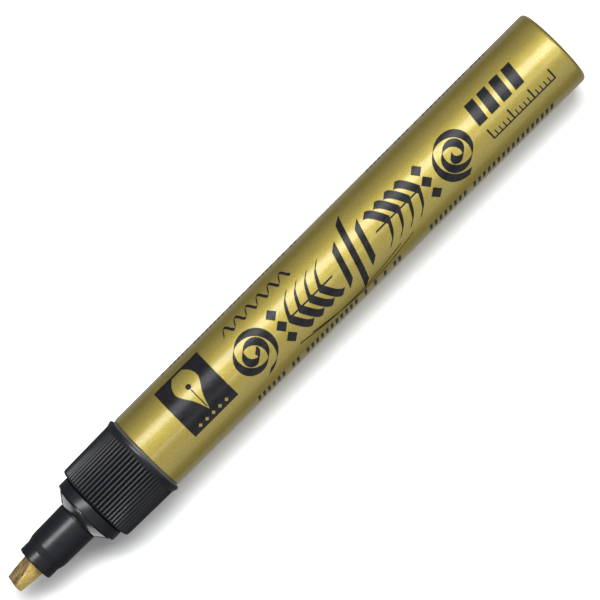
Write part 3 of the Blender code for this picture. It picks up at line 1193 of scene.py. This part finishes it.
# %% [markdown]
# Each mark is the width of the edge in millimetres and a path. The scroll, the dots and the
# spray on the right are those on the left, measured back from the far end.

# %% Draw the marks
FAR = MARKS_LENGTH
SCROLL_X = 4.9
SCROLL_SIZE = 4.6
SCROLL_TURNS = 2.3
DOTS_X = 11.9
SPRAY_X = 13.8
STROKE_WIDTH = 2.1
HAIR_WIDTH = 0.3
MARKS = [
    (LEAF_WIDTH, scroll(SCROLL_X, MIDDLE, SCROLL_SIZE, SCROLL_TURNS, 1)),
    (LEAF_WIDTH, scroll(FAR - SCROLL_X, MIDDLE, SCROLL_SIZE, SCROLL_TURNS, -1)),
    *dots(DOTS_X),
    *dots(FAR - DOTS_X),
    *spray(SPRAY_X, 1),
    *spray(FAR - SPRAY_X, -1),
    (STROKE_WIDTH, slanted(25.9, 0.0, 7.2)),
    (STROKE_WIDTH, slanted(27.9, -2.6, 10.4)),
    (STROKE_WIDTH, slanted(31.5, 0.0, 7.2)),
    (HAIR_WIDTH, hairline(12.0, 25.0, -1.4, 1.6)),
    (HAIR_WIDTH, hairline(15.0, 25.0, -1.6, 1.8)),
    (0.55, arches(3.0, 16.4, 9.3, 11.3, 6)),
]


def add_spline(curve, places):
    """Adds straight runs through places to a curve."""
    spline = curve.splines.new("POLY")
    spline.points.add(len(places) - 1)
    for point, place in zip(spline.points, places):
        point.co = (*place, 1)
    return spline


def flat_curve(name, places):
    """A curve object through (along, round, height) places."""
    curve = bpy.data.curves.new(name, "CURVE")
    curve.dimensions = "3D"
    add_spline(curve, places)
    return bpy.data.objects.new(name, curve)


def draw_mark(number, width, path):
    """Sweeps the broad edge along one path."""
    rise = LAYER_RISE / len(path)
    placed = [
        (MARKS_START + x * MM, BASELINE + y * MM, i * rise) for i, (x, y) in enumerate(path)
    ]
    values = {"Edge Width": width * MM, "Edge Angle": EDGE_ANGLE, "Step": 0.45 * MM}
    return run_tree(flat_curve(f"mark_{number}", placed), BROAD_NIB, values, PRINT_THICKNESS)


printed = [draw_mark(number, *mark) for number, mark in enumerate(MARKS)]
print(len(printed), "marks drawn")

# %% [markdown]
# The rows of small marks stand where small capitals would. Each is one short slanted bar
# repeated along a line, with some left out at random so that the row breaks into groups as
# words do. The seed is fixed, so the row is the same each time.

# %% The tree that sets a row of small bars
def row_tree(material):
    """The tree that sets leaning bars along a line, with some left out, round the barrel."""
    tree, given = start_tree(
        "row_of_bars",
        {
            "Count": "Int",
            "Pitch": "Float",
            "Bar Width": "Float",
            "Bar Height": "Float",
            "Slant": "Float",
            "Gap Share": "Float",
            "Seed": "Int",
            "Start": "Vector",
        },
    )
    stride = add_node(tree, "ShaderNodeCombineXYZ", {"X": given["Pitch"]}).outputs[0]
    line = add_node(
        tree,
        "GeometryNodeMeshLine",
        {"Count": given["Count"], "Start Location": given["Start"], "Offset": stride},
    ).outputs[0]
    chance = add_node(
        tree,
        "FunctionNodeRandomValue",
        {"Probability": given["Gap Share"], "Seed": given["Seed"]},
        data_type="BOOLEAN",
    ).outputs[3]
    kept = add_node(
        tree, "GeometryNodeDeleteGeometry", {"Geometry": line, "Selection": chance}
    ).outputs[0]
    bar = add_node(
        tree,
        "GeometryNodeMeshGrid",
        {
            "Size X": given["Bar Width"],
            "Size Y": given["Bar Height"],
            "Vertices X": 2,
            "Vertices Y": 6,
        },
    ).outputs[0]
    where = add_node(tree, "GeometryNodeInputPosition")
    high = add_node(tree, "ShaderNodeSeparateXYZ", {0: where.outputs[0]}).outputs["Y"]
    lean = math_node(tree, "MULTIPLY", high, given["Slant"])
    push = add_node(tree, "ShaderNodeCombineXYZ", {"X": lean}).outputs[0]
    leaning = add_node(tree, "GeometryNodeSetPosition", {"Geometry": bar, "Offset": push})
    copies = add_node(
        tree,
        "GeometryNodeInstanceOnPoints",
        {"Points": kept, "Instance": leaning.outputs[0]},
    ).outputs[0]
    real = add_node(tree, "GeometryNodeRealizeInstances", {"Geometry": copies}).outputs[0]
    return end_tree(tree, bend_round_barrel(tree, real), material)


ROW = row_tree(INK)


def set_row(name, start, round_at, count, pitch, size, seed, slant=0.25, gaps=0.16):
    """A row of bars; start, distance round the barrel, pitch and size are in millimetres."""
    empty = bpy.data.objects.new(name, bpy.data.meshes.new(name))
    values = {
        "Count": count,
        "Pitch": pitch * MM,
        "Bar Width": size[0] * MM,
        "Bar Height": size[1] * MM,
        "Slant": slant,
        "Gap Share": gaps,
        "Seed": seed,
        "Start": (start * MM, round_at * MM, 0.0),
    }
    return run_tree(empty, ROW, values, PRINT_THICKNESS)


printed += [
    set_row("lower_row_front", 54.2, -9.3, 30, 1.2, (0.62, 1.7), 4),
    set_row("lower_row_rear", 96.9, -9.3, 26, 1.2, (0.62, 1.7), 9),
    set_row("upper_row_front", 45.0, 10.9, 34, 1.0, (0.5, 1.1), 2),
    set_row("upper_row_rear", 96.0, 10.9, 30, 1.0, (0.5, 1.1), 7),
]

# %% [markdown]
# Behind the marks, a heavy block pattern and a small rule stand at the butt end. The rule is
# true: its marks are a millimetre apart, and each fifth one is longer.

# %% The blocks and the rule
BLOCKS_START = 116.4
RULE_START = 115.6
RULE_LENGTH = 15

printed.append(set_row("blocks", BLOCKS_START, 1.5, 4, 3.0, (2.1, 4.6), 1, 0.12, 0.0))
printed += [
    set_row("rule_line", RULE_START + RULE_LENGTH / 2, -4.3, 1, 1, (15.3, 0.28), 1, 0, 0),
    set_row("rule_marks", RULE_START, -3.7, RULE_LENGTH + 1, 1.0, (0.24, 1.1), 1, 0, 0),
    set_row("rule_fives", RULE_START, -3.2, 4, 5.0, (0.34, 2.2), 1, 0, 0),
]

# %% [markdown]
# The panel is a square with a pen nib left bare in it, so the gold shows through. A flat
# filled curve does this: a closed outline inside another one is a hole. The filled shape is
# then cut into strips across, so that it bends evenly.

# %% The panel
PANEL_CENTRE = (46.8, 1.42)
PANEL_SIZE = (10.6, 11.6)
NIB_SHAPE = [(0, -4.6), (1.0, -1.8), (2.6, 1.0), (2.3, 3.0), (1.2, 4.6)]
NIB_SHAPE_RISE = 0.7
SLIT = (0.11, -3.2, 0.9)
VENT = (0, 1.6, 0.55)
DIAMONDS = 5
DIAMOND_PITCH = 1.6
DIAMOND_LEVEL = -4.85
DIAMOND_SIZE = 0.42
STRIP = 0.3 * MM


def smooth_path(points, per_span=6):
    """A smooth curve through points, as a list of points: the Catmull-Rom rule."""
    padded = [points[0]] + points + [points[-1]]
    path = []
    for a, b, c, d in zip(padded, padded[1:], padded[2:], padded[3:]):
        a, b, c, d = Vector(a), Vector(b), Vector(c), Vector(d)
        for i in range(per_span):
            t = i / per_span
            bend = (2 * a - 5 * b + 4 * c - d) * t**2 + (3 * b - a - 3 * c + d) * t**3
            path.append((2 * b + (c - a) * t + bend) / 2)
    return path + [Vector(points[-1])]


def add_outline(curve, points):
    """Adds a closed outline in millimetres from the panel's centre."""
    middle_x, middle_y = PANEL_CENTRE
    places = [((middle_x + x) * MM, (middle_y + y) * MM, 0) for x, y in points]
    add_spline(curve, places).use_cyclic_u = True


def rectangle(half_width, low, high):
    """A rectangle's corners, centred from left to right."""
    return [(-half_width, low), (half_width, low), (half_width, high), (-half_width, high)]


def ring_of_points(x, y, size, count=20):
    """Points on a circle."""
    turns = [math.tau * i / count for i in range(count)]
    return [(x + size * math.cos(a), y + size * math.sin(a)) for a in turns]


def diamond(x, y, size):
    """A square on its corner."""
    return [(x - size, y), (x, y + size), (x + size, y), (x, y - size)]


def panel_curve():
    """The square with the pen nib left bare in it, and a row of diamonds."""
    curve = bpy.data.curves.new("panel", "CURVE")
    curve.dimensions = "2D"
    curve.fill_mode = "BOTH"
    half_x, half_y = PANEL_SIZE[0] / 2, PANEL_SIZE[1] / 2
    add_outline(curve, rectangle(half_x, -half_y, half_y))
    right = [(p.x, p.y + NIB_SHAPE_RISE) for p in smooth_path(NIB_SHAPE)]
    left = [(-x, y) for x, y in right[::-1]]
    add_outline(curve, right + left[:-1])
    add_outline(curve, ring_of_points(*VENT))
    add_outline(curve, rectangle(*SLIT))
    for i in range(DIAMONDS):
        x = DIAMOND_PITCH * (i - DIAMONDS // 2)
        add_outline(curve, diamond(x, DIAMOND_LEVEL, DIAMOND_SIZE))
    return bpy.data.objects.new("panel", curve)


def cut_into_strips(obj):
    """Turns a flat filled curve into a mesh with edges across it at even steps."""
    bpy.context.scene.collection.objects.link(obj)
    depsgraph = bpy.context.evaluated_depsgraph_get()
    bm = bmesh.new()
    bm.from_mesh(obj.evaluated_get(depsgraph).to_mesh())
    bpy.data.objects.remove(obj)
    bmesh.ops.remove_doubles(bm, verts=bm.verts, dist=0.001 * MM)
    low = min(v.co.y for v in bm.verts)
    high = max(v.co.y for v in bm.verts)
    for i in range(1, int((high - low) / STRIP)):
        everything = bm.verts[:] + bm.edges[:] + bm.faces[:]
        bmesh.ops.bisect_plane(
            bm, geom=everything, plane_co=(0, low + i * STRIP, 0), plane_no=(0, 1, 0)
        )
    for face in bm.faces:
        if face.normal.z < 0:
            face.normal_flip()
    return object_from(bm, "panel")


def bend_tree(material):
    """The tree that only bends a flat mesh round the barrel."""
    tree, given = start_tree("bend_only", {})
    return end_tree(tree, bend_round_barrel(tree, given["Geometry"]), material)


printed.append(run_tree(cut_into_strips(panel_curve()), bend_tree(INK), {}, PRINT_THICKNESS))


# %% Join the print into one piece
def join_pieces(name, pieces):
    """One mesh from many, with the pieces removed."""
    bm = bmesh.new()
    for piece in pieces:
        bm.from_mesh(piece.data)
        bpy.data.objects.remove(piece)
    made = object_from(bm, name)
    smooth(made)
    print(name, len(made.data.polygons), "faces")
    return made


barrel_print = join_pieces("barrel_print", printed)
finish_piece(barrel_print, INK, "barrel", [])

# %% [markdown]
# The strip's streak and the side boxes' glow belong on the lacquer. On the black pieces they
# would only add grey, so the strip reaches the barrel and its print alone, and the side boxes
# leave out the black pieces, the cone and the floor.

# %% Keep the side lights off the black pieces
strip.light_linking.receiver_collection = linked("strip_reaches", [barrel, barrel_print])
left_out = linked("fills_leave_out", [floor, holder, seat_ring, collar, plug], "EXCLUDE")
for fill in side_fills:
    fill.light_linking.receiver_collection = left_out

# %% [markdown]
# A white table lights the underside of what lies on it, and the lacquer mirrors that. As for
# the cone, a box under the floor stands in for it. It reaches the barrel with its print, the
# gasket and the nib alone.

# %% Give the lacquer the table's glow
TABLE_GLOW = 0.26
table_glow = softbox("table_glow", 0.0, 180.0, 0.5, (1.6, 1.2), TABLE_GLOW)
glow_reaches = linked("table_glow_reaches", [barrel, barrel_print, gasket, nib])
table_glow.light_linking.receiver_collection = glow_reaches
table_glow.light_linking.blocker_collection = FLOOR_LETS_BY

# %% [markdown]
# ## What is inside
#
# Behind the nib sits a valve. Pressing the nib pushes the stem back, its washer leaves the
# rubber seat, and ink runs through. The spring closes it again. None of it shows on a whole
# marker, but each piece is turned and finished as the outside is, from the same outlines
# that a lathe or a mould would follow.

# %% Fibre sleeve and ferrule on the nib
def ring_between(name, node, outer, bore, edge):
    """A ring as long as a CAD node, with all four edges rounded."""
    front, rear = span(node)
    return plain_ring(name, front, rear, outer, bore, edge)


sleeve = ring_between("ink_sleeve", "ink_buffer", 3.1 * MM, 2.5 * MM, 0.2 * MM)
finish_piece(sleeve, BUFFER, "barrel", ["ink_buffer"])

FERRULE_FRONT, FERRULE_REAR = span("nib_ferrule")
FERRULE_R = 3.1 * MM
FERRULE_BORE = 2.5 * MM
ferrule = turn(
    "nib_stop",
    [
        (FERRULE_FRONT, 2.8 * MM, 0.1 * MM),
        (FERRULE_FRONT + 0.5 * MM, FERRULE_R, 0.2 * MM),
        (FERRULE_REAR, FERRULE_R, 0.2 * MM),
        (FERRULE_REAR, FERRULE_BORE, 0.1 * MM),
        (FERRULE_FRONT, FERRULE_BORE, 0.1 * MM),
    ],
)
finish_piece(ferrule, WHITE, "nib", ["nib_ferrule"])

# %% Seat, washer and stem of the valve
seat = ring_between("rubber_seat", "valve_seat", 4.7 * MM, 1.7 * MM, 0.25 * MM)
finish_piece(seat, SEAT_RUBBER, "barrel", ["valve_seat"])
washer = ring_between("rubber_washer", "valve_washer", 3.0 * MM, 1.4 * MM, 0.15 * MM)
finish_piece(washer, WASHER_RUBBER, "valve", ["valve_washer"])

STEM_FRONT, STEM_REAR = span("valve_stem")
STEM_R = 1.1 * MM
PIN_R = 1.0 * MM
HEAD_R = 3.0 * MM
HEAD_FRONT = STEM_FRONT + 5.8 * MM
HEAD_REAR = HEAD_FRONT + 1.2 * MM
stem = turn(
    "stem",
    [
        (STEM_FRONT, 0, 0),
        (STEM_FRONT, STEM_R, 0.3 * MM),
        (HEAD_FRONT, STEM_R, 0.1 * MM),
        (HEAD_FRONT, HEAD_R, 0.2 * MM),
        (HEAD_REAR, HEAD_R, 0.2 * MM),
        (HEAD_REAR, PIN_R, 0.1 * MM),
        (STEM_REAR, PIN_R, 0.3 * MM),
        (STEM_REAR, 0, 0),
    ],
    closed=False,
)
finish_piece(stem, WHITE, "valve", ["valve_stem"])

# %% [markdown]
# The cage and the disc at its rear are turned too, and then have openings cut through them:
# four windows that let ink in from the side, and four ports. A tree sets copies of a cutter
# round the axis, subtracts them, and merges the slivers that a cut leaves. Its inputs are the
# cutter, how many there are, the height of the axis and the distance to merge within.

# %% Cut openings round the axis
def cut_round_axis(material):
    """The tree that cuts the same opening through a wall at even turns."""
    tree, given = start_tree(
        "cut_round_axis",
        {"Cutter": "Object", "Openings": "Int", "Axis Height": "Float", "Merge": "Float"},
    )
    cutter = add_node(tree, "GeometryNodeObjectInfo", {"Object": given["Cutter"]})
    copies = copies_round_axis(tree, cutter.outputs["Geometry"], given["Openings"])
    opened = add_node(
        tree,
        "GeometryNodeMeshBoolean",
        {
            "Mesh 1": given["Geometry"],
            "Mesh 2": raise_to_axis(tree, copies, given["Axis Height"]),
        },
        operation="DIFFERENCE",
        solver="EXACT",
    )
    clean = merge_points(tree, opened.outputs[0], given["Merge"])
    return end_tree(tree, clean, material)


OPENINGS = cut_round_axis(WHITE)


def cut_openings(blank, cutter, count):
    """Cuts a number of openings, and removes the cutter."""
    values = {
        "Cutter": cutter,
        "Openings": count,
        "Axis Height": AXIS_HEIGHT,
        "Merge": 0.002 * MM,
    }
    made = run_tree(blank, OPENINGS, values)
    bpy.data.objects.remove(cutter)
    smooth(made)
    return made


# %% Valve cage
CAGE_FRONT, CAGE_REAR = span("valve_cage")
CAGE_R = 4.7 * MM
CAGE_BORE = 3.5 * MM
CAGE_HOLE_R = 2.6 * MM
CAGE_FLOOR = CAGE_REAR - 0.6 * MM
WINDOWS = 4
WINDOW = (5.0 * MM, 2.4 * MM, 3.0 * MM)
WINDOW_MIDDLE = CAGE_FRONT + 5.5 * MM
WINDOW_OUT = 4.1 * MM

cage_blank = turn(
    "windowed_cage",
    [
        (CAGE_FRONT, CAGE_R, 0.2 * MM),
        (CAGE_REAR, CAGE_R, 0.2 * MM),
        (CAGE_REAR, CAGE_HOLE_R, 0.1 * MM),
        (CAGE_FLOOR, CAGE_HOLE_R, 0.1 * MM),
        (CAGE_FLOOR, CAGE_BORE, 0.1 * MM),
        (CAGE_FRONT, CAGE_BORE, 0.1 * MM),
    ],
)


def cutter_object(bm):
    """A cutter, in the scene so that a tree can read it."""
    cutter = object_from(bm, "cutter")
    bpy.context.scene.collection.objects.link(cutter)
    return cutter


def window_cutter():
    """A block with its corners rounded, standing out from the axis."""
    bm = bmesh.new()
    place = Matrix.Translation((TIP + WINDOW_MIDDLE, 0, WINDOW_OUT))
    bmesh.ops.create_cube(bm, size=1, matrix=place @ Matrix.Diagonal((*WINDOW, 1)))
    upright = [e for e in bm.edges if abs(e.verts[0].co.z - e.verts[1].co.z) > MM]
    bmesh.ops.bevel(
        bm, geom=upright, offset=0.5 * MM, segments=5, profile=0.5, affect="EDGES"
    )
    return cutter_object(bm)


cage = cut_openings(cage_blank, window_cutter(), WINDOWS)
finish_piece(cage, WHITE, "barrel", ["valve_cage"])

# %% Spring seat
DISC_FRONT, DISC_REAR = span("spring_seat")
PORTS = 4
PORT_R = 0.45 * MM
PORT_OUT = 2.35 * MM
disc_blank = plain_ring("ported_disc", DISC_FRONT, DISC_REAR, 3.2 * MM, 1.4 * MM, 0.15 * MM)


def port_cutter():
    """A rod that runs through the disc, beside the axis."""
    bm = bmesh.new()
    place = Matrix.Translation((TIP + (DISC_FRONT + DISC_REAR) / 2, 0, PORT_OUT))
    bmesh.ops.create_cone(
        bm,
        cap_ends=True,
        segments=32,
        radius1=PORT_R,
        radius2=PORT_R,
        depth=4 * MM,
        matrix=place @ Matrix.Rotation(math.pi / 2, 4, "Y"),
    )
    return cutter_object(bm)


disc = cut_openings(disc_blank, port_cutter(), PORTS)
finish_piece(disc, WHITE, "barrel", ["spring_seat"])

# %% [markdown]
# The spring is a helix with a closed turn at each end, so that it stands square. The tree
# numbers the points of a line, works out from each number how far round and how far along
# the point belongs, and sweeps the wire's section along the result. When the valve opens the
# spring shortens towards its rear end.

# %% Wind the spring
POINTS_PER_TURN = 40
SPRING_TURNS = 8
COIL_R = 2.0 * MM
WIRE_R = 0.2 * MM
CLOSED_PITCH = 2.2


def spring_tree(material):
    """The tree that winds a spring; its closed turns rise by CLOSED_PITCH wire radii."""
    tree, given = start_tree(
        "coil_spring",
        {
            "Turns": "Int",
            "Coil Radius": "Float",
            "Wire Radius": "Float",
            "Front": "Float",
            "Length": "Float",
            "Axis Height": "Float",
        },
    )
    count = math_node(tree, "MULTIPLY", given["Turns"], POINTS_PER_TURN)
    points = math_node(tree, "ADD", count, 1)
    line = add_node(tree, "GeometryNodeMeshLine", {"Count": points}).outputs[0]
    curve = add_node(tree, "GeometryNodeMeshToCurve", {"Mesh": line}).outputs[0]
    index = add_node(tree, "GeometryNodeInputIndex").outputs[0]
    turns = math_node(tree, "DIVIDE", index, POINTS_PER_TURN)
    open_turns = math_node(tree, "SUBTRACT", given["Turns"], 2)
    past_first = math_node(tree, "MAXIMUM", math_node(tree, "SUBTRACT", turns, 1), 0)
    middle = math_node(tree, "MINIMUM", past_first, open_turns)
    ends = math_node(tree, "SUBTRACT", turns, middle)
    closed_pitch = math_node(tree, "MULTIPLY", given["Wire Radius"], CLOSED_PITCH)
    wire = math_node(tree, "MULTIPLY", given["Wire Radius"], 2)
    taken = math_node(tree, "ADD", wire, math_node(tree, "MULTIPLY", closed_pitch, 2))
    free = math_node(tree, "SUBTRACT", given["Length"], taken)
    open_pitch = math_node(tree, "DIVIDE", free, open_turns)
    along_ends = math_node(tree, "MULTIPLY", ends, closed_pitch)
    along = math_node(tree, "ADD", along_ends, math_node(tree, "MULTIPLY", middle, open_pitch))
    front = math_node(tree, "ADD", given["Front"], given["Wire Radius"])
    angle = math_node(tree, "MULTIPLY", turns, math.tau)
    across = math_node(tree, "MULTIPLY", given["Coil Radius"], math_node(tree, "SINE", angle))
    up = math_node(tree, "MULTIPLY", given["Coil Radius"], math_node(tree, "COSINE", angle))
    place = add_node(
        tree,
        "ShaderNodeCombineXYZ",
        {
            "X": math_node(tree, "ADD", along, front),
            "Y": across,
            "Z": math_node(tree, "ADD", up, given["Axis Height"]),
        },
    ).outputs[0]
    helix = add_node(tree, "GeometryNodeSetPosition", {"Geometry": curve, "Position": place})
    section = add_node(
        tree,
        "GeometryNodeCurvePrimitiveCircle",
        {"Resolution": 14, "Radius": given["Wire Radius"]},
    ).outputs[0]
    swept = add_node(
        tree,
        "GeometryNodeCurveToMesh",
        {"Curve": helix.outputs[0], "Profile Curve": section, "Fill Caps": True},
    )
    return end_tree(tree, swept.outputs[0], material)


SPRING_FRONT, SPRING_REAR = span("valve_spring")
SPRING_LENGTH = SPRING_REAR - SPRING_FRONT
spring = run_tree(
    bpy.data.objects.new("coil", bpy.data.meshes.new("coil")),
    spring_tree(WIRE),
    {
        "Turns": SPRING_TURNS,
        "Coil Radius": COIL_R,
        "Wire Radius": WIRE_R,
        "Front": TIP + SPRING_FRONT,
        "Length": SPRING_LENGTH,
        "Axis Height": AXIS_HEIGHT,
    },
)
smooth(spring)
finish_piece(spring, WIRE, "barrel", ["valve_spring"])
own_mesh(spring)

# %% [markdown]
# A loose steel ball in the barrel stirs the ink when the marker is shaken. An icosphere has
# faces of one size all over and no poles, which suits a polished ball.

# %% The mixing ball
BALL_SUBDIVISIONS = 5
ball_low, ball_high = map(Vector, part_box("mixing_ball"))


def polished_ball():
    """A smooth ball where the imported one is."""
    bm = bmesh.new()
    bmesh.ops.create_icosphere(
        bm,
        subdivisions=BALL_SUBDIVISIONS,
        radius=(ball_high.x - ball_low.x) / 2,
        matrix=Matrix.Translation((ball_low + ball_high) / 2),
    )
    ball = object_from(bm, "steel_ball")
    ball.data.shade_smooth()
    return ball


finish_piece(polished_ball(), POLISHED, "ball", ["mixing_ball"])
